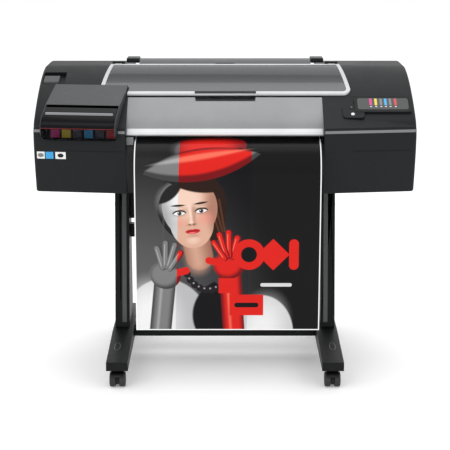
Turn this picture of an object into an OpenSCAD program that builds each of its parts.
// Large format plotter: a roll-fed inkjet printer on a four-wheeled stand.
// Frame: +X to the operator's right, -Y towards the operator, +Z up, origin on the floor
// under the middle of the stand. Millimetres.

/* [Body] */
// Width over the two end covers
body_w = 1262; // [1250:1:1270]
// Width of the middle section between the end covers
centre_w = 650; // [646:1:654]
// Thickness of the moulded covers
wall = 3; // [2.5:0.5:3.5]
// Angle by which the front of each end cover sweeps back towards its outer end
sweep = 7.45; // [6.5:0.05:8]
// Height of the flat top of the body
top_z = 1030; // [1028:1:1031]

/* [Media] */
// Width of the paper
media_w = 610; // [594:1:610]
// Diameter of the paper wound on the roll
roll_d = 120; // [90:5:130]
// Thickness of the paper
paper_t = 0.4; // [0.2:0.1:0.4]
// Height of the lower edge of the hanging print
print_end_z = 195; // [150:5:400]

/* [Stand] */
// Length of each foot, front to back
foot_len = 695; // [690:1:700]
// Width of each foot
foot_w = 73; // [70:1:76]
// Distance of each foot's middle from the plotter's middle
foot_x = 361; // [361:1:362]
// Width of each column
column_w = 51; // [48:1:54]
// Wall thickness of the feet and columns
steel_t = 3; // [2:0.5:4]

/* [Casters] */
// Diameter of the caster wheels
wheel_d = 50; // [48:1:50]
// Distance of the wheel axle from the swivel axis
trail = 20; // [18:1:20]
// Distance of the swivel axes in front of and behind the middle
swivel_y = 298; // [290:1:298]

/* [Ink] */
// Width of one ink cartridge
cartridge_w = 30; // [26:1:32]
// Distance from one cartridge to the next
cartridge_pitch = 37.4; // [36:0.1:38]

/* [Controls] */
// Radius of the power button
power_r = 6; // [5:0.5:7]
// Height that the two keys stand out of the control pod
key_proud = 1.8; // [1.5:0.1:2.5]

/* [Hidden] */
$fn = 48;
eps = 1;
half_w = body_w / 2;
half_c = centre_w / 2;
run = 0.05;
base_z = 648;
pan_t = 4;
rear_y = 281;
skin_t = 4;

// Side outline of the body as curves in (Y, Z): crown, brow, nose, belly
crown = [115, top_z];
crown_pull = [20, top_z - 10];
brow_pull = [-110, 965];
brow = [-212, 890];
brow_fall = [-230, 868];
nose_rise = [-237, 850];
nose = [-236, 828];
belly_pull_a = [-233, 770];
belly_pull_b = [-217, 710];
belly = [-199, base_z];
shoulder_back = [-60, 960];

// Seams of the end covers: radius, distance from the outer end, and the low seam's place in the
// swept frame
seam_r = 1.4;
seam_end = 16;
low_seam = [3.6, 791];

// Printing line: everything that touches the paper is placed from here
paper_z = 845.6;
feed_y = 25;
feed_r = 15;
feed_z = paper_z - paper_t / 2 - 0.4 - feed_r;
pinch_r = 6;
pinch_z = paper_z + paper_t / 2 + 0.4 + pinch_r;
pinch_pivot = [66, 856];
pinch_xs = [-240, -120, 0, 120, 240];
exit_arc_r = 105;
exit_arc_c = [-215, 721.8];
exit_arc_start = 100.2;

// Media roll, its spindle and the cover over it; the paper runs a little right of the middle
media_x = 9;
roll_axis = [195, 957];
spindle_r = 12;
core_bore_r = 26;
hub_r = 68;
hub_t = 5;
hood_r = 88;
hood_t = 2.5;
hood_hinge = [292, 950];
block_x0 = 320;
block_x1 = 347;
hood_half = 302;

// Carriage and its drive
park_x = 480;
carriage_w = 150;
rod_r = 8;
rod_z = 900;
rod_ys = [-60, 30];
belt_z = 871;
belt_h = 8;
belt_t = 1.6;
pulley_r = 11.7;
pulley_x = 578;
pulley_y = 64;
gear_m = 1.5;
gear_teeth = 48;
pinion_teeth = 16;
gear_x = 575;
gear_t = 10;
pinion_y = feed_y + gear_m * (gear_teeth + pinion_teeth) / 2 + 0.3;

// Window over the carriage
window_front_y = -110;
window_rear_y = 106;
window_half_front = 422;
window_half_rear = 398;
window_trim_w = 12;
window_hinge = [118, top_z + 7];
hinge_x = 372;
hinge_w = 44;

// Ink station, in the swept frame of the left end cover: x from its outer end, y from its nose
ink_x0 = 31;
ink_x1 = 281;
ink_axis = [47, 921];
ink_pin_r = 2.5;
cartridge_x0 = 71;
cartridge_count = 6;
cartridge_front = 14;
cartridge_len = 130;
cartridge_z = 832;
cartridge_h = 52;

// Control pod on the sloping brow of the right end cover
pod_at = [525, -156, 926.4];
pod_slope = 31.7;
pod_t = 7;
select_at = [-106, -17];
power_at = [-103, -50];

// Pinch lever and its well on the left end cover, in the lever's sloping frame
lever_at = [-583, -2, 999.6];
lever_slope = 17.5;
lever_hub = [-32, -4];
lever_x = [-35, 17];
well_half = [38, 42];

// Stand heights
foot_z = 62;
foot_end_h = 30;
foot_mid_h = 50;
column_z = foot_z + foot_mid_h;
column_x = foot_x + 4;
column_top = base_z - pan_t;
column_front = [-20, 75];
column_rear = 160;
rail_bolt_r = 4;
accessory_hole_r = 2.6;
axle_z = wheel_d / 2;
// Lower edge, front, depth and height of each cross rail: lower, middle, upper
rail_z = [66, 415, 483];
rail_y = [20, 96, 100];
rail_d = [38, 34, 34];
rail_h = [43, 47, 94];

// ---- Outlines ----

// Points along a cubic curve
function bezier(a, b, c, d, n) = [for (i = [0:n]) let (t = i / n, u = 1 - t)
  u * u * u * a + 3 * u * u * t * b + 3 * u * t * t * c + t * t * t * d];

// Points along an arc about c
function arc(c, r, from, to, n) = [for (i = [0:n]) let (a = from + (to - from) * i / n)
  c + r * [cos(a), sin(a)]];

// A list in the opposite order
function reversed(list) = [for (i = [len(list) - 1:-1:0]) list[i]];

// Unit normal to a path at point i
function path_normal(path, i) = let (
  a = path[max(i - 1, 0)], b = path[min(i + 1, len(path) - 1)], d = (b - a) / norm(b - a))
  [-d[1], d[0]];

// A closed outline of thickness t about a path
function thick(path, t) = concat(
  [for (i = [0:len(path) - 1]) path[i] + path_normal(path, i) * t / 2],
  [for (i = [len(path) - 1:-1:0]) path[i] - path_normal(path, i) * t / 2]);

// Sloping top of the body, from the crown down to the brow, lying t under the outside
function top_curve(t) = bezier(
  crown - [0, t], crown_pull - [-0.2, 1] * t, brow_pull - [-0.55, 0.85] * t,
  brow - [-0.8, 0.6] * t, 14);
// Rounded nose below the brow
function nose_curve(t) = bezier(
  brow - [-0.8, 0.6] * t, brow_fall - [-0.9, 0.4] * t, nose_rise + [t, 0], nose + [t, 0], 5);
// Front below the nose, ending at height z
function belly_curve(t, z) = bezier(
  nose + [t, 0], belly_pull_a + [t, 0], belly_pull_b + [t, 0], [belly[0] + t, z], 4);
// Whole side outline, lying t under the outside and open below and behind when t > 0
function body_outline(t) = let (
  corner = 30, low = t > 0 ? base_z - eps : base_z, back = t > 0 ? rear_y + eps : rear_y)
  concat([[back, low]],
    arc([back - corner, top_z - t - corner], corner, 0, 90, 5),
    top_curve(t), nose_curve(t), belly_curve(t, low));
// Front part of the same outline, which sweeps back towards the outer end
function swept_outline(t) = let (low = t > 0 ? base_z - eps : base_z) concat(
  [[shoulder_back[0], low], shoulder_back - [0, t]],
  [brow_fall - [-0.9, 0.4] * t],
  bezier(brow_fall - [-0.9, 0.4] * t, [-236 + t, 856], nose_rise + [t, -8], nose + [t, 0], 4),
  belly_curve(t, low));
// Teeth of a spur gear
function gear_outline(teeth, phase) = let (
  r = gear_m * teeth / 2, tip = r + 0.8 * gear_m, root = r - 1.1 * gear_m, p = 360 / teeth)
  [for (i = [0:teeth - 1], k = [[-0.3, 0], [-0.12, 1], [0.12, 1], [0.3, 0]])
    let (a = (i + k[0]) * p + phase) (k[1] == 1 ? tip : root) * [cos(a), sin(a)]];
// Path of the paper from the roll, over the platen and down to its free end
function paper_path() = concat(
  bezier([roll_axis[0], roll_axis[1] - roll_d / 2 - 0.6], [roll_axis[0] - 45, roll_axis[1] - roll_d / 2 - 0.6],
    [150, paper_z], [105, paper_z], 12),
  [[-30, paper_z], [-120, paper_z]],
  arc(exit_arc_c, exit_arc_r, exit_arc_start, 180, 18),
  [for (i = [1:6]) let (z = exit_arc_c[1] + (print_end_z - exit_arc_c[1]) * i / 6)
    [exit_arc_c[0] - exit_arc_r + 8 * i * i / 36, z]]);

// ---- Placing ----

// Extrudes a (Y, Z) outline along +X
module along_x(length) {
  rotate([90, 0, 90]) linear_extrude(length) children();
}
// A cylinder along +X from x0 to x1 about the point c = [y, z]
module bar_x(x0, x1, c, r) {
  translate([x0, c[0], c[1]]) rotate([0, 90, 0]) cylinder(r = r, h = x1 - x0);
}
// A box from one corner to the opposite corner
module block(low, high) {
  translate(low) cube(high - low);
}
// A plate with rounded corners, centred in X and Y, standing on z = 0
module round_plate(size, r, h) {
  w = size[0] / 2 - r;
  d = size[1] / 2 - r;
  linear_extrude(h) polygon(concat(arc([w, d], r, 0, 90, 6), arc([-w, d], r, 90, 180, 6),
    arc([-w, -d], r, 180, 270, 6), arc([w, -d], r, 270, 360, 6)));
}
// The same child on the left and, mirrored, on the right
module both_sides() {
  children();
  mirror([1, 0, 0]) children();
}
// Swept frame of the left end cover: x inwards from its outer end, y back from its nose
module ink_frame() {
  translate([-half_w, nose[0], 0]) rotate([0, 0, -sweep]) children();
}
// Sloping frame of the control pod: x to the right, y up the slope, z outwards
module pod_frame() {
  translate(pod_at) rotate([pod_slope, 0, 0]) children();
}
// Sloping frame of the pinch lever
module lever_frame() {
  translate(lever_at) rotate([lever_slope, 0, 0]) children();
}

// ---- Stand ----

// Side outline of a foot, lying t inside its outside and open below when t > 0
function foot_outline(t) = let (e = foot_len / 2 - t, low = foot_z - (t > 0 ? eps : 0))
  [[-e, low], [e, low], [e, foot_z + foot_end_h - t], [column_rear + 40, foot_z + foot_mid_h - t],
   [-60, foot_z + foot_mid_h - t], [-e, foot_z + foot_end_h - t]];
module foot() {
  stem_hole_r = 5 + run;
  color([0.07, 0.08, 0.08]) difference() {
    union() {
      difference() {
        translate([foot_x - foot_w / 2, 0, 0]) along_x(foot_w) polygon(foot_outline(0));
        translate([foot_x - foot_w / 2 + steel_t, 0, 0])
          along_x(foot_w - 2 * steel_t) polygon(foot_outline(steel_t));
      }
      for (end = [[-1, foot_end_h + 1.5], [1, foot_end_h + 5]])
        translate([foot_x, end[0] * swivel_y, foot_z]) cylinder(r = 16, h = end[1]);
    }
    for (s = [-1, 1]) translate([foot_x, s * swivel_y, foot_z - eps]) cylinder(r = stem_hole_r, h = 24);
    bar_x(foot_x - foot_w, foot_x, rail_bolt_at(0), rail_bolt_r + 0.3);
  }
}
module left_foot() mirror([1, 0, 0]) foot();
module right_foot() foot();

// Front edge of a column at height z
function column_front_y(z) = column_front[0]
  + (column_front[1] - column_front[0]) * (z - column_z) / (column_top - column_z);
function rail_bolt_at(i) = [rail_y[i] + rail_d[i] / 2, rail_z[i] + rail_h[i] / 2];
module column() {
  inner_x = column_x - column_w / 2 + steel_t;
  color([0.07, 0.08, 0.08]) difference() {
    translate([column_x - column_w / 2, 0, 0]) along_x(column_w) polygon([
      [column_front[0], column_z], [column_rear, column_z],
      [column_rear, column_top], [column_front[1], column_top]]);
    translate([inner_x, 0, 0]) along_x(column_w - 2 * steel_t) polygon([
      [column_front[0] + steel_t, column_z + steel_t], [column_rear - steel_t, column_z + steel_t],
      [column_rear - steel_t, column_top + eps], [column_front[1] + steel_t, column_top + eps]]);
    for (i = [1, 2]) bar_x(column_x - column_w, column_x + column_w, rail_bolt_at(i), rail_bolt_r + 0.3);
    // Shadow line down the front, where the column's two pressings meet
    translate([column_x + 6, 0, 0]) along_x(2.5) polygon([
      [column_front[0] - eps, column_z + 10], [column_front[0] + 1.5, column_z + 10],
      [column_front[1] + 1.5, column_top - 2], [column_front[1] - eps, column_top - 2]]);
    // Holes for an accessory such as a catch bin
    for (z = [300, 400])
      bar_x(column_x, column_x + column_w, [120, z], accessory_hole_r);
  }
}
module left_column() mirror([1, 0, 0]) column();
module right_column() column();

// A box-section rail between the columns, with end plates for its bolts
module cross_rail(i, half_len) {
  color([0.1, 0.11, 0.12]) difference() {
    block([-half_len, rail_y[i], rail_z[i]], [half_len, rail_y[i] + rail_d[i], rail_z[i] + rail_h[i]]);
    block([-half_len + 4, rail_y[i] + 2, rail_z[i] - eps],
      [half_len - 4, rail_y[i] + rail_d[i] - 2, rail_z[i] + rail_h[i] - 2]);
    bar_x(-half_len - eps, half_len + eps, rail_bolt_at(i), rail_bolt_r + 0.3);
  }
}
module lower_cross_rail() cross_rail(0, foot_x - foot_w / 2);
module middle_cross_rail() cross_rail(1, column_x - column_w / 2);
module upper_cross_rail() cross_rail(2, column_x - column_w / 2);

// A bolt along X from its tip to its head at x = seat
module rail_bolt(i, tip, seat) {
  bar_x(seat, seat + 5, rail_bolt_at(i), 7);
  bar_x(tip, seat + eps, rail_bolt_at(i), rail_bolt_r);
}
// Bolts that hold the rails: through the columns, and from inside the feet
module stand_bolts() color([0.45, 0.46, 0.48]) both_sides() {
  for (i = [1, 2]) rail_bolt(i, column_x - column_w / 2 - 12, column_x + column_w / 2);
  rail_bolt(0, foot_x - foot_w / 2 - 12, foot_x - foot_w / 2 + steel_t);
}

// ---- Casters ----

// Places a caster's parts: side is -1 for left, end is -1 for front
module at_caster(side, end) {
  translate([side * foot_x, end * swivel_y, 0]) children();
}
module caster_hood(braked) {
  color([0.1, 0.11, 0.12]) difference() {
    union() {
      // Web between the wheels, rising to the stem
      translate([-4.5, 0, 0]) along_x(9) polygon(concat(
        arc([-trail, axle_z], 19, 150, 300, 12), [[9, 40], [9, foot_z - 0.4], [-12, foot_z - 6]]));
      // Guard over the wheels
      difference() {
        bar_x(-20, 20, [-trail, axle_z], wheel_d / 2 + 3.2);
        bar_x(-21, 21, [-trail, axle_z], wheel_d / 2 + 1.2);
        block([-30, -80, -5], [30, 60, axle_z + 12]);
      }
      translate([0, 0, 50]) cylinder(r = 5, h = foot_z + 21 - 50);
      translate([0, 0, 50]) cylinder(r = 11, h = foot_z - 0.4 - 50);
      if (braked) {
        translate([-4.5, 4, 40]) cube([9, 12, 12]);
        bar_x(-13, 13, [13, 46], 2.5);
      }
    }
    bar_x(-30, 30, [-trail, axle_z], 4 + run);
  }
}
module caster_wheels() {
  color([0.05, 0.05, 0.05]) {
    for (s = [-1, 1]) translate([s > 0 ? 6 : -26.5, -trail, axle_z]) rotate([90, 0, 90])
      rotate_extrude() polygon(concat([[3, 0], [wheel_d / 2 - 4, 0]],
        arc([wheel_d / 2 - 4, 4], 4, 270, 360, 4), arc([wheel_d / 2 - 4, 16.5], 4, 0, 90, 4), [[3, 20.5]]));
    bar_x(-25, 25, [-trail, axle_z], 4);
  }
}
module brake_pedal() {
  color([0.3, 0.31, 0.32]) difference() {
    union() {
      for (s = [-1, 1]) translate([s > 0 ? 5.2 : -9.7, 0, 0]) along_x(4.5) polygon(concat(
        arc([13, 46], 5, 90, 270, 8), [[22, 43], [22, 49]]));
      block([-9.7, 20, 43], [9.7, 40, 47]);
    }
    bar_x(-20, 20, [13, 46], 2.5 + run);
  }
}
module front_left_caster_hood() at_caster(-1, -1) caster_hood(true);
module front_right_caster_hood() at_caster(1, -1) caster_hood(true);
module rear_left_caster_hood() at_caster(-1, 1) caster_hood(false);
module rear_right_caster_hood() at_caster(1, 1) caster_hood(false);
module front_left_caster_wheels() at_caster(-1, -1) caster_wheels();
module front_right_caster_wheels() at_caster(1, -1) caster_wheels();
module rear_left_caster_wheels() at_caster(-1, 1) caster_wheels();
module rear_right_caster_wheels() at_caster(1, 1) caster_wheels();
module left_brake_pedal() at_caster(-1, -1) brake_pedal();
module right_brake_pedal() at_caster(1, -1) brake_pedal();

// ---- Body ----

// Solid volume of the right end of the body between x0 and x1, lying t under its outside
module end_mass(t, x0, x1) {
  reach = half_w;
  union() {
    translate([x0, 0, 0]) along_x(x1 - x0) polygon(body_outline(t));
    intersection() {
      translate([half_w, nose[0], 0]) rotate([0, 0, sweep]) translate([-reach, -nose[0], 0])
        along_x(reach + 20) polygon(swept_outline(t));
      block([x0, -400, 0], [x1, 400, 1200]);
    }
  }
}
// Hinge ears and pin that carry one end of the window
module window_hinge_bracket() {
  for (x = [hinge_x - hinge_w / 2, hinge_x + hinge_w / 2 - 9]) {
    bar_x(x, x + 9, window_hinge, 6.5);
    block([x, window_hinge[0] - 6.5, top_z - eps], [x + 9, window_hinge[0] + 6.5, window_hinge[1]]);
  }
  bar_x(hinge_x - hinge_w / 2, hinge_x + hinge_w / 2, window_hinge, 3);
}
// Hollow right end cover: open below, behind and, past its front wall, towards the middle
module end_cover() {
  inner_wall_rear = -195;
  union() {
    difference() {
      end_mass(0, half_c, half_w);
      end_mass(wall, half_c + wall, half_w - wall);
      intersection() {
        translate([half_c - eps, 0, 0]) along_x(wall + 2 * eps) polygon(body_outline(wall));
        block([0, inner_wall_rear, 0], [half_w, 400, 1200]);
      }
      // Opening under the window
      translate([0, window_front_y + 14, 900]) linear_extrude(200)
        square([window_half_rear - 14, window_rear_y - window_front_y - 32]);
      // Notch for the spindle bracket
      block([half_c - eps, 149, 800], [block_x1 + eps, 241, 1200]);
    }
    window_hinge_bracket();
  }
}
module right_end_cover() color([0.15, 0.16, 0.17]) difference() {
  end_cover();
  // Two seams across the sloping top
  for (seam = [[-72, 974.5], [-116, 951]])
    bar_x(half_c + 95, half_w - seam_end, seam, seam_r);
  mirror([1, 0, 0]) ink_frame() bar_x(seam_end, 212, low_seam, seam_r);
}
module left_end_cover() color([0.15, 0.16, 0.17]) difference() {
  union() {
    mirror([1, 0, 0]) end_cover();
    lever_frame() block([-well_half[0] - 3, -well_half[1] - 3, -16],
      [well_half[0] + 3, well_half[1] + 3, -2.5]);
  }
  ink_frame() bar_x(104, half_w - half_c - 2, low_seam, seam_r);
  // Way through to the ink cartridges
  ink_frame() block([ink_x0 + 4, -30, cartridge_z - 4], [ink_x1 - 4, 90, cartridge_z + 88]);
  // Well of the pinch lever, with the lug and pin that the lever turns on
  lever_frame() difference() {
    block([-well_half[0], -well_half[1], -13], [well_half[0], well_half[1], 30]);
    bar_x(-50, lever_x[1] + 5, lever_hub, 3);
    block([lever_x[1] + 1, lever_hub[0] - 6, -20], [lever_x[1] + 6, lever_hub[0] + 6, 0]);
  }
}
module base_pan() color([0.12, 0.13, 0.13])
  translate([0, 0, base_z - pan_t]) linear_extrude(pan_t) polygon([
    [-half_w + 3, rear_y + 4], [-half_w + 3, -195], [-half_c, -235], [-half_c, -222],
    [half_c, -222], [half_c, -235], [half_w - 3, -195], [half_w - 3, rear_y + 4]]);
module rear_cover() color([0.13, 0.14, 0.15]) difference() {
  union() {
    block([-half_w, rear_y, base_z], [half_w, rear_y + 4, hood_hinge[1] - 14]);
    both_sides() block([half_c, rear_y, base_z], [half_w, rear_y + 4, top_z - 30]);
    // Ears and pin of the roll cover's hinge
    both_sides() {
      for (x = [238, 282]) {
        bar_x(x, x + 10, hood_hinge, 6);
        block([x, rear_y + 1, hood_hinge[1] - 40], [x + 10, hood_hinge[0] + 2, hood_hinge[1]]);
      }
      bar_x(238, 292, hood_hinge, 3);
    }
  }
  // Opening for the sockets and the power switch
  block([400, rear_y - eps, 680], [540, rear_y + 10, 760]);
}
module front_panel() {
  top = [-118, 949.5];
  lip = [-227, 862];
  outer = concat(bezier(top, [-168, 919], [-214, 889], lip, 10),
    bezier(lip, [-231, 853], [-246, 852], [-247, 846], 4), [[-247, 842], [-240, 838]]);
  inner = reversed(concat(bezier(top - [-3, skin_t], [-166, 914], [-209, 885], lip + [5, -2], 10),
    [[-226, 848], [-240, 842]]));
  color([0.68, 0.69, 0.69]) difference() {
    translate([-half_c, 0, 0]) along_x(centre_w) polygon(concat(outer, inner));
    // Grip recess under the front edge of the window
    block([-100, -136, 930], [102, -100, 960]);
  }
  color([0.12, 0.12, 0.13]) translate([-100, 0, 0]) along_x(202)
    polygon([[-136, 938.6], [-136, 930], [-116, 939], [-116, 944]]);
}
module front_apron() {
  bulge = [-266, 770];
  color([0.08, 0.09, 0.09]) translate([-half_c, 0, 0]) along_x(centre_w) polygon(thick(concat(
    bezier([-221, 820], [-248, 818], bulge + [0, 30], bulge, 8),
    [for (i = [1:5]) bezier(bulge, bulge - [0, 40], [-246, 690], [-228, base_z + 1], 5)[i]]), wall));
}

// ---- Window ----

// Outline of the window seen from above, lying d inside its edge
function window_plan(d) = let (
  slope = (window_half_front - window_half_rear) / (window_rear_y - window_front_y),
  y0 = window_front_y + d, y1 = window_rear_y - d, r = 26 - d,
  wf = window_half_front - d - slope * d, wr = window_half_rear - d + slope * d)
  concat(arc([wf - r, y0 + r], r, 270, 360, 8), [[wr, y1], [-wr, y1]],
    arc([r - wf, y0 + r], r, 180, 270, 8));
// A shell that follows the sloping top between two heights above it, within a plan outline
module top_shell(low, high, plan) {
  intersection() {
    translate([-half_w, 0, 0]) along_x(body_w)
      polygon(concat(top_curve(-high), reversed(top_curve(-low))));
    translate([0, 0, 900]) linear_extrude(200) polygon(plan);
  }
}
// Corner of the window that is cut away to clear the ink housing
module ink_housing_clearance() {
  ink_frame() block([-50, -100, 800], [ink_x1 + 3, 201, 1100]);
}
module top_window() color([0.2, 0.22, 0.23, 0.7]) difference() {
  top_shell(1, 5, window_plan(window_trim_w));
  ink_housing_clearance();
}
module window_trim() {
  knuckle_half = hinge_w / 2 - 10;
  color([0.78, 0.79, 0.79]) difference() {
    union() {
      difference() {
        top_shell(0.8, 6.5, window_plan(0));
        top_shell(-2, 20, window_plan(window_trim_w));
      }
      both_sides() {
        bar_x(hinge_x - knuckle_half, hinge_x + knuckle_half, window_hinge, 6);
        block([hinge_x - knuckle_half, window_rear_y - 6, top_z + 1.5],
          [hinge_x + knuckle_half, window_hinge[0], top_z + 6.5]);
      }
    }
    both_sides() bar_x(hinge_x - hinge_w, hinge_x + hinge_w, window_hinge, 3 + run);
    ink_housing_clearance();
  }
}

// ---- Ink station ----

// Outer side outline of the ink station's front, from its hinge line to its lower edge
function ink_front(t) = concat(
  [[40, 929 - t], [11 + 0.4 * t, 915 - t]],
  bezier([11 + 0.4 * t, 915 - t], [-12 + 0.7 * t, 905 - 0.7 * t], [-29 + t, 893], [-30 + t, 870], 6),
  bezier([-29 + t, 842], [-28 + t, 834], [-18 + t, 829], [-6, 826 + t], 4));
// Keeps what lies within the rounded front outline of the ink station
module ink_front_trim() {
  r = 26;
  intersection() {
    children();
    ink_frame() translate([0, 250, 0]) rotate([90, 0, 0]) linear_extrude(300) polygon(concat(
      arc([ink_x0 + r, 826 + r], r, 180, 270, 8), arc([ink_x1 - r, 826 + r], r, 270, 360, 8),
      [[ink_x1, 1000], [ink_x0, 1000]]));
  }
}
module ink_housing() color([0.3, 0.31, 0.31]) union() {
  difference() {
    ink_front_trim() ink_frame() difference() {
      translate([ink_x0, 0, 0]) along_x(ink_x1 - ink_x0)
        polygon(concat([[196, 985], [56, 937]], ink_front(2), [[196, 826]]));
      translate([ink_x0 + wall, 0, 0]) along_x(ink_x1 - ink_x0 - 2 * wall) polygon([
        [190, 979], [56, 934], [40, 940], [-60, 940], [-60, 800], [190, 800]]);
    }
    mirror([1, 0, 0]) end_mass(0, half_c - 60, half_w);
  }
  // Pins that the door swings on
  ink_frame() for (x = [ink_x0 + 2, ink_x1 - 8]) bar_x(x, x + 6, ink_axis, ink_pin_r);
}
module ink_door() {
  x0 = ink_x0 + wall + 0.5;
  x1 = ink_x1 - wall - 0.5;
  color([0.05, 0.05, 0.06, 0.8]) ink_front_trim() ink_frame() difference() {
    union() {
      translate([x0, 0, 0]) along_x(x1 - x0) polygon(concat(ink_front(0), reversed(ink_front(wall))));
      for (x = [x0, x1 - 4]) {
        bar_x(x, x + 4, ink_axis, 5.5);
        translate([x, 0, 0]) along_x(4) polygon([
          [ink_axis[0] - 4, 925], [38, 928], [20, 916], [12, 911], [ink_axis[0], 916]]);
      }
    }
    bar_x(x0 - eps, x1 + eps, ink_axis, ink_pin_r + run);
  }
}
function cartridge_x(i) = cartridge_x0 + cartridge_pitch * i;
module ink_bay() color([0.1, 0.1, 0.11]) ink_frame() difference() {
  block([cartridge_x(0) - 18, cartridge_front + 8, cartridge_z - 6],
    [cartridge_x(5) + 18, cartridge_front + cartridge_len + 8, cartridge_z + cartridge_h + 6]);
  for (i = [0:cartridge_count - 1])
    block([cartridge_x(i) - cartridge_w / 2 - 0.5, 0, cartridge_z - 0.5],
      [cartridge_x(i) + cartridge_w / 2 + 0.5, cartridge_front + cartridge_len + 1,
       cartridge_z + cartridge_h + 0.5]);
}
module ink_cartridge(i, hue) color(hue) ink_frame() translate([cartridge_x(i), 0, 0]) difference() {
  block([-cartridge_w / 2, cartridge_front, cartridge_z],
    [cartridge_w / 2, cartridge_front + cartridge_len, cartridge_z + cartridge_h]);
  // Finger hollow in the front of the cartridge
  bar_x(-8, 8, [cartridge_front, cartridge_z + 37], 5);
}
module ink_cartridge_1() ink_cartridge(0, [0.75, 0.1, 0.4]);
module ink_cartridge_2() ink_cartridge(1, [0.75, 0.7, 0.1]);
module ink_cartridge_3() ink_cartridge(2, [0.15, 0.15, 0.2]);
module ink_cartridge_4() ink_cartridge(3, [0.1, 0.5, 0.75]);
module ink_cartridge_5() ink_cartridge(4, [0.2, 0.2, 0.28]);
module ink_cartridge_6() ink_cartridge(5, [0.65, 0.1, 0.15]);

// ---- Roll ----

module roll_cover() color([0.28, 0.29, 0.3]) difference() {
  union() {
    translate([-hood_half, 0, 0]) along_x(2 * hood_half)
      polygon(thick(arc(roll_axis, hood_r - hood_t / 2, -3, 125, 24), hood_t));
    both_sides() {
      bar_x(250, 280, hood_hinge, 6);
      block([250, hood_hinge[0] - 10, hood_hinge[1]], [280, hood_hinge[0], hood_hinge[1] + 6]);
    }
  }
  both_sides() bar_x(240, 290, hood_hinge, 3 + run);
  // Finger notch in the front edge
  block([-33, 140, 1000], [33, 152, 1060]);
}
module roll_spindle() color([0.16, 0.17, 0.18]) {
  bar_x(-block_x1 + 8, block_x1 - 8, roll_axis, spindle_r);
  translate([media_x, 0, 0]) both_sides() {
    bar_x(media_w / 2 + 0.6, media_w / 2 + hub_t, roll_axis, hub_r);
    bar_x(media_w / 2 - 30, media_w / 2 + 1, roll_axis, core_bore_r);
  }
}
module media_roll() color([0.93, 0.93, 0.92]) translate([media_x, 0, 0]) difference() {
  bar_x(-media_w / 2, media_w / 2, roll_axis, roll_d / 2);
  bar_x(-media_w / 2 - eps, media_w / 2 + eps, roll_axis, core_bore_r);
}
module printed_sheet() color([0.9, 0.9, 0.9])
  translate([media_x - media_w / 2, 0, 0]) along_x(media_w) polygon(thick(paper_path(), paper_t));

// ---- Controls ----

module pinch_lever() color([0.24, 0.25, 0.26]) lever_frame() difference() {
  union() {
    block([lever_x[0], lever_hub[0] - 3, -6], [lever_x[1], 14, 2]);
    bar_x(lever_x[0], lever_x[1], lever_hub, 6);
  }
  bar_x(-50, 50, lever_hub, 3 + run);
}
// Hollow in the pod for the key at p
module key_hole(p, r) {
  translate([p[0], p[1], -20]) cylinder(r = r, h = 40);
}
module control_pod() color([0.22, 0.23, 0.24]) difference() {
  pod_frame() difference() {
    union() {
      translate([0, 0, -8]) round_plate([192, 78], 14, 8 + pod_t);
      translate([-100, -37, -16]) round_plate([72, 62], 12, 16 + pod_t - 1);
    }
    translate([0, 2, pod_t - 1.2]) round_plate([170, 58], 9, 10);
    key_hole(select_at, power_r + 0.3);
    key_hole(power_at, power_r + 0.3);
  }
  end_mass(0, half_c, half_w);
}
module display_screen() color([0.1, 0.11, 0.12]) pod_frame()
  translate([0, 2, pod_t - 1.2]) round_plate([169.6, 57.6], 8.8, 1.4);
// A round key, its cap proud of the pod, with room below it for its travel
module key_cap(p, r) {
  color([0.85, 0.86, 0.86]) pod_frame()
    translate([p[0], p[1], pod_t - 1 + key_proud - 4]) cylinder(r = r, h = 4);
}
module select_key() key_cap(select_at, power_r - 1);
module power_button() key_cap(power_at, power_r);

// ---- Chassis and carriage ----

module chassis_frame() {
  plate_x = 596;
  color([0.5, 0.52, 0.54]) difference() {
    union() {
      // Main beam behind the carriage, with its top flange
      block([-plate_x, 86, 885], [plate_x, 112, 960]);
      block([-half_c, 104, 955], [half_c, 108, top_z - 2]);
      block([-half_c, 104, top_z - 6], [half_c, 142, top_z - 2]);
      both_sides() {
        translate([plate_x, 0, 0]) along_x(4) polygon([
          [-130, base_z], [120, base_z], [120, 960], [-50, 960], [-130, 920]]);
        // Bulkhead and bracket that carry the end of the spindle
        block([block_x0 + 4, 108, base_z], [block_x0 + 12, 270, 895]);
        block([block_x0, 150, 880], [block_x1, 240, 1030]);
        block([hood_half + 1.5, 165, 1032], [block_x1, 228, 1047]);
        block([block_x0, 165, 1029], [block_x1, 228, 1033]);
      }
      // Lower beam under the platen
      block([-plate_x, -110, 790], [plate_x, -66, 824]);
      // Bracket of the idler pulley
      for (z = [belt_z - 10, belt_z + belt_h + 5])
        block([-pulley_x - 12, pulley_y - 10, z], [-pulley_x + 12, 84, z + 6]);
      block([-pulley_x - 12, 82, belt_z - 10], [-pulley_x + 12, 88, belt_z + belt_h + 20]);
      // Ears under the beam for the pivot of the pinch arms
      both_sides() {
        block([304, pinch_pivot[0] - 6, 850], [310, 100, 863]);
        block([304, 88, 862], [310, 100, 886]);
      }
    }
    for (y = rod_ys) bar_x(-plate_x - 10, plate_x + 10, [y, rod_z], rod_r);
    bar_x(-plate_x - 10, plate_x + 10, [feed_y, feed_z], 8 + run);
    bar_x(-block_x1 + 7, block_x1 - 7, roll_axis, spindle_r + run);
    bar_x(-320, 320, pinch_pivot, 3 + run);
    translate([-pulley_x, pulley_y, belt_z - 20]) cylinder(r = 3 + run, h = 50);
  }
}
module carriage_rods() color([0.75, 0.76, 0.78])
  for (y = rod_ys) bar_x(-600, 600, [y, rod_z], rod_r);
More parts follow.
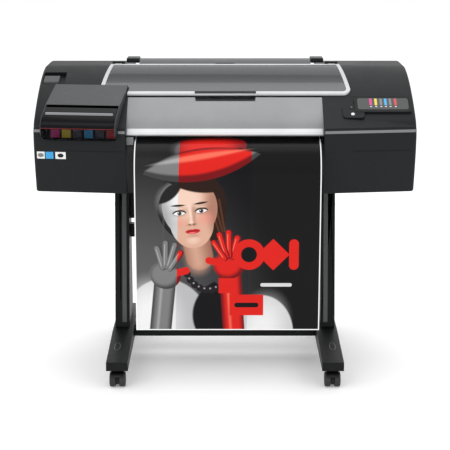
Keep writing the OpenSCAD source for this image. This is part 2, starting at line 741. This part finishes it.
module carriage() {
  x0 = park_x - carriage_w / 2;
  color([0.14, 0.15, 0.16]) difference() {
    union() {
      block([x0, -95, 866], [x0 + carriage_w, 45, 912]);
      // Fork that grips the belt
      block([park_x - 20, 44, belt_z - 5], [park_x + 20, 56, belt_z + belt_h + 5]);
    }
    for (y = rod_ys) bar_x(x0 - eps, x0 + carriage_w + eps, [y, rod_z], rod_r + run);
    for (i = [-1:1]) block([park_x + i * 44 - 18.5, -46.5, 860], [park_x + i * 44 + 18.5, 10.5, 920]);
    block([park_x - 21, pulley_y - pulley_r - 2.5, belt_z - 0.5],
      [park_x + 21, 60, belt_z + belt_h + 0.5]);
  }
}
module printheads() color([0.25, 0.3, 0.45]) for (i = [-1:1]) {
  block([park_x + i * 44 - 18, -46, 855], [park_x + i * 44 + 18, 10, 930]);
  block([park_x + i * 44 - 12, -36, 848.5], [park_x + i * 44 + 12, 0, 856]);
}
// Area within one side of the belt, whose two runs are 2 r apart
module belt_loop(r, h) {
  block([-pulley_x, -r, 0], [pulley_x, r, h]);
  for (s = [-1, 1]) translate([s * pulley_x, 0, 0]) cylinder(r = r, h = h);
}
module timing_belt() {
  r = pulley_r + 0.3;
  gap = 0.3;
  color([0.07, 0.07, 0.07]) translate([0, pulley_y, belt_z + gap]) difference() {
    belt_loop(r + belt_t, belt_h - 2 * gap);
    translate([0, 0, -eps]) belt_loop(r, belt_h + 2 * eps);
  }
}
module pulley(x) {
  translate([x, pulley_y, belt_z]) {
    cylinder(r = pulley_r, h = belt_h);
    for (z = [-1.5, belt_h]) translate([0, 0, z]) cylinder(r = pulley_r + 2.5, h = 1.5);
  }
}
module drive_pulley() color([0.7, 0.7, 0.72]) {
  pulley(pulley_x);
  translate([pulley_x, pulley_y, belt_z]) cylinder(r = 3, h = 40);
}
module idler_pulley() color([0.7, 0.7, 0.72]) {
  pulley(-pulley_x);
  translate([-pulley_x, pulley_y, belt_z - 9]) cylinder(r = 3, h = belt_h + 19);
}
// Motor of the carriage, above its pulley, and motor of the feed roller
module drive_motors() color([0.35, 0.36, 0.38]) {
  translate([pulley_x, pulley_y, 0]) difference() {
    translate([-17, -19, 884]) cube([34, 40, 50]);
    translate([0, 0, 880]) cylinder(r = 3 + run, h = 40);
  }
  difference() {
    bar_x(530, 568, [pinion_y, feed_z], 19);
    bar_x(540, 580, [pinion_y, feed_z], 3 + run);
  }
}
module feed_roller() {
  color([0.25, 0.25, 0.26]) bar_x(-312, 312, [feed_y, feed_z], feed_r);
  color([0.7, 0.7, 0.72]) bar_x(-599, 599, [feed_y, feed_z], 8);
  color([0.85, 0.85, 0.82]) translate([gear_x, feed_y, feed_z]) along_x(gear_t)
    polygon(gear_outline(gear_teeth, 0));
}
module feed_pinion() color([0.8, 0.75, 0.5]) {
  translate([gear_x, pinion_y, feed_z]) along_x(gear_t)
    polygon(gear_outline(pinion_teeth, 180 / pinion_teeth));
  bar_x(545, gear_x + 1, [pinion_y, feed_z], 3);
}
module pinch_rollers() {
  color([0.2, 0.2, 0.2]) for (x = pinch_xs) bar_x(x - 20, x + 20, [feed_y, pinch_z], pinch_r);
  color([0.7, 0.7, 0.72]) bar_x(-285, 285, [feed_y, pinch_z], 1.5);
}
// Arms that press the pinch rollers on the paper and lift with the pinch lever
module pinch_arms() color([0.55, 0.56, 0.58]) difference() {
  union() {
    bar_x(-309, 309, pinch_pivot, 3);
    for (x = [for (p = pinch_xs) each [p - 27, p + 23]])
      block([x, feed_y - 4, pinch_z - 3.2], [x + 4, pinch_pivot[0], pinch_z + 3.4]);
  }
  bar_x(-310, 310, [feed_y, pinch_z], 1.5 + run);
}
module platen() color([0.3, 0.31, 0.32]) {
  translate([-320, 0, 0]) along_x(640) polygon([
    [8, 845], [-120, 845], [-216, 826], [-216, 822], [-116, 838], [-116, 824], [-60, 824],
    [-60, 838], [8, 838]]);
  // Guide behind the feed roller, on the chassis beam
  translate([-320, 0, 0]) along_x(640) polygon([[44, 845], [44, 838], [110, 838], [110, 845]]);
}
module service_station() color([0.2, 0.21, 0.22]) {
  block([park_x - 65, -60, 795], [park_x + 65, 12, 836]);
  for (i = [-1:1]) block([park_x + i * 44 - 14, -40, 835], [park_x + i * 44 + 14, 4, 847.5]);
}

// ---- Electronics ----

module electronics_box() color([0.55, 0.56, 0.57]) difference() {
  union() {
    block([360, 180, base_z], [590, rear_y, 820]);
    block([401, rear_y - eps, 681], [539, rear_y + 3, 759]);
  }
  // Power inlet, two sockets and the well of the power switch
  block([412, rear_y - 17, 692], [440, rear_y + 10, 712]);
  block([462, rear_y - 12, 694], [478, rear_y + 10, 708]);
  block([496, rear_y - 12, 694], [508, rear_y + 10, 706]);
  block([415, rear_y - 9, 726], [437, rear_y + 10, 742]);
  bar_x(412, 440, [rear_y - 3, 734], 1.5 + run);
}
// Rocker, tipped to its off side
module power_switch() color([0.06, 0.06, 0.06]) translate([416.5, rear_y - 3, 734]) rotate([-7, 0, 0]) {
  along_x(19) polygon([[-1, -6.5], [7.5, -6.5], [5.5, 0], [7.5, 6.5], [-1, 6.5]]);
  bar_x(-4, 23, [0, 0], 1.5);
}

left_foot();
right_foot();
left_column();
right_column();
lower_cross_rail();
middle_cross_rail();
upper_cross_rail();
stand_bolts();
front_left_caster_hood();
front_right_caster_hood();
rear_left_caster_hood();
rear_right_caster_hood();
front_left_caster_wheels();
front_right_caster_wheels();
rear_left_caster_wheels();
rear_right_caster_wheels();
left_brake_pedal();
right_brake_pedal();
base_pan();
left_end_cover();
right_end_cover();
rear_cover();
front_panel();
front_apron();
top_window();
window_trim();
ink_housing();
ink_door();
ink_bay();
ink_cartridge_1();
ink_cartridge_2();
ink_cartridge_3();
ink_cartridge_4();
ink_cartridge_5();
ink_cartridge_6();
roll_cover();
pinch_lever();
control_pod();
display_screen();
select_key();
power_button();
chassis_frame();
carriage_rods();
carriage();
printheads();
timing_belt();
drive_pulley();
idler_pulley();
drive_motors();
feed_roller();
feed_pinion();
pinch_rollers();
pinch_arms();
platen();
service_station();
roll_spindle();
media_roll();
printed_sheet();
electronics_box();
power_switch();
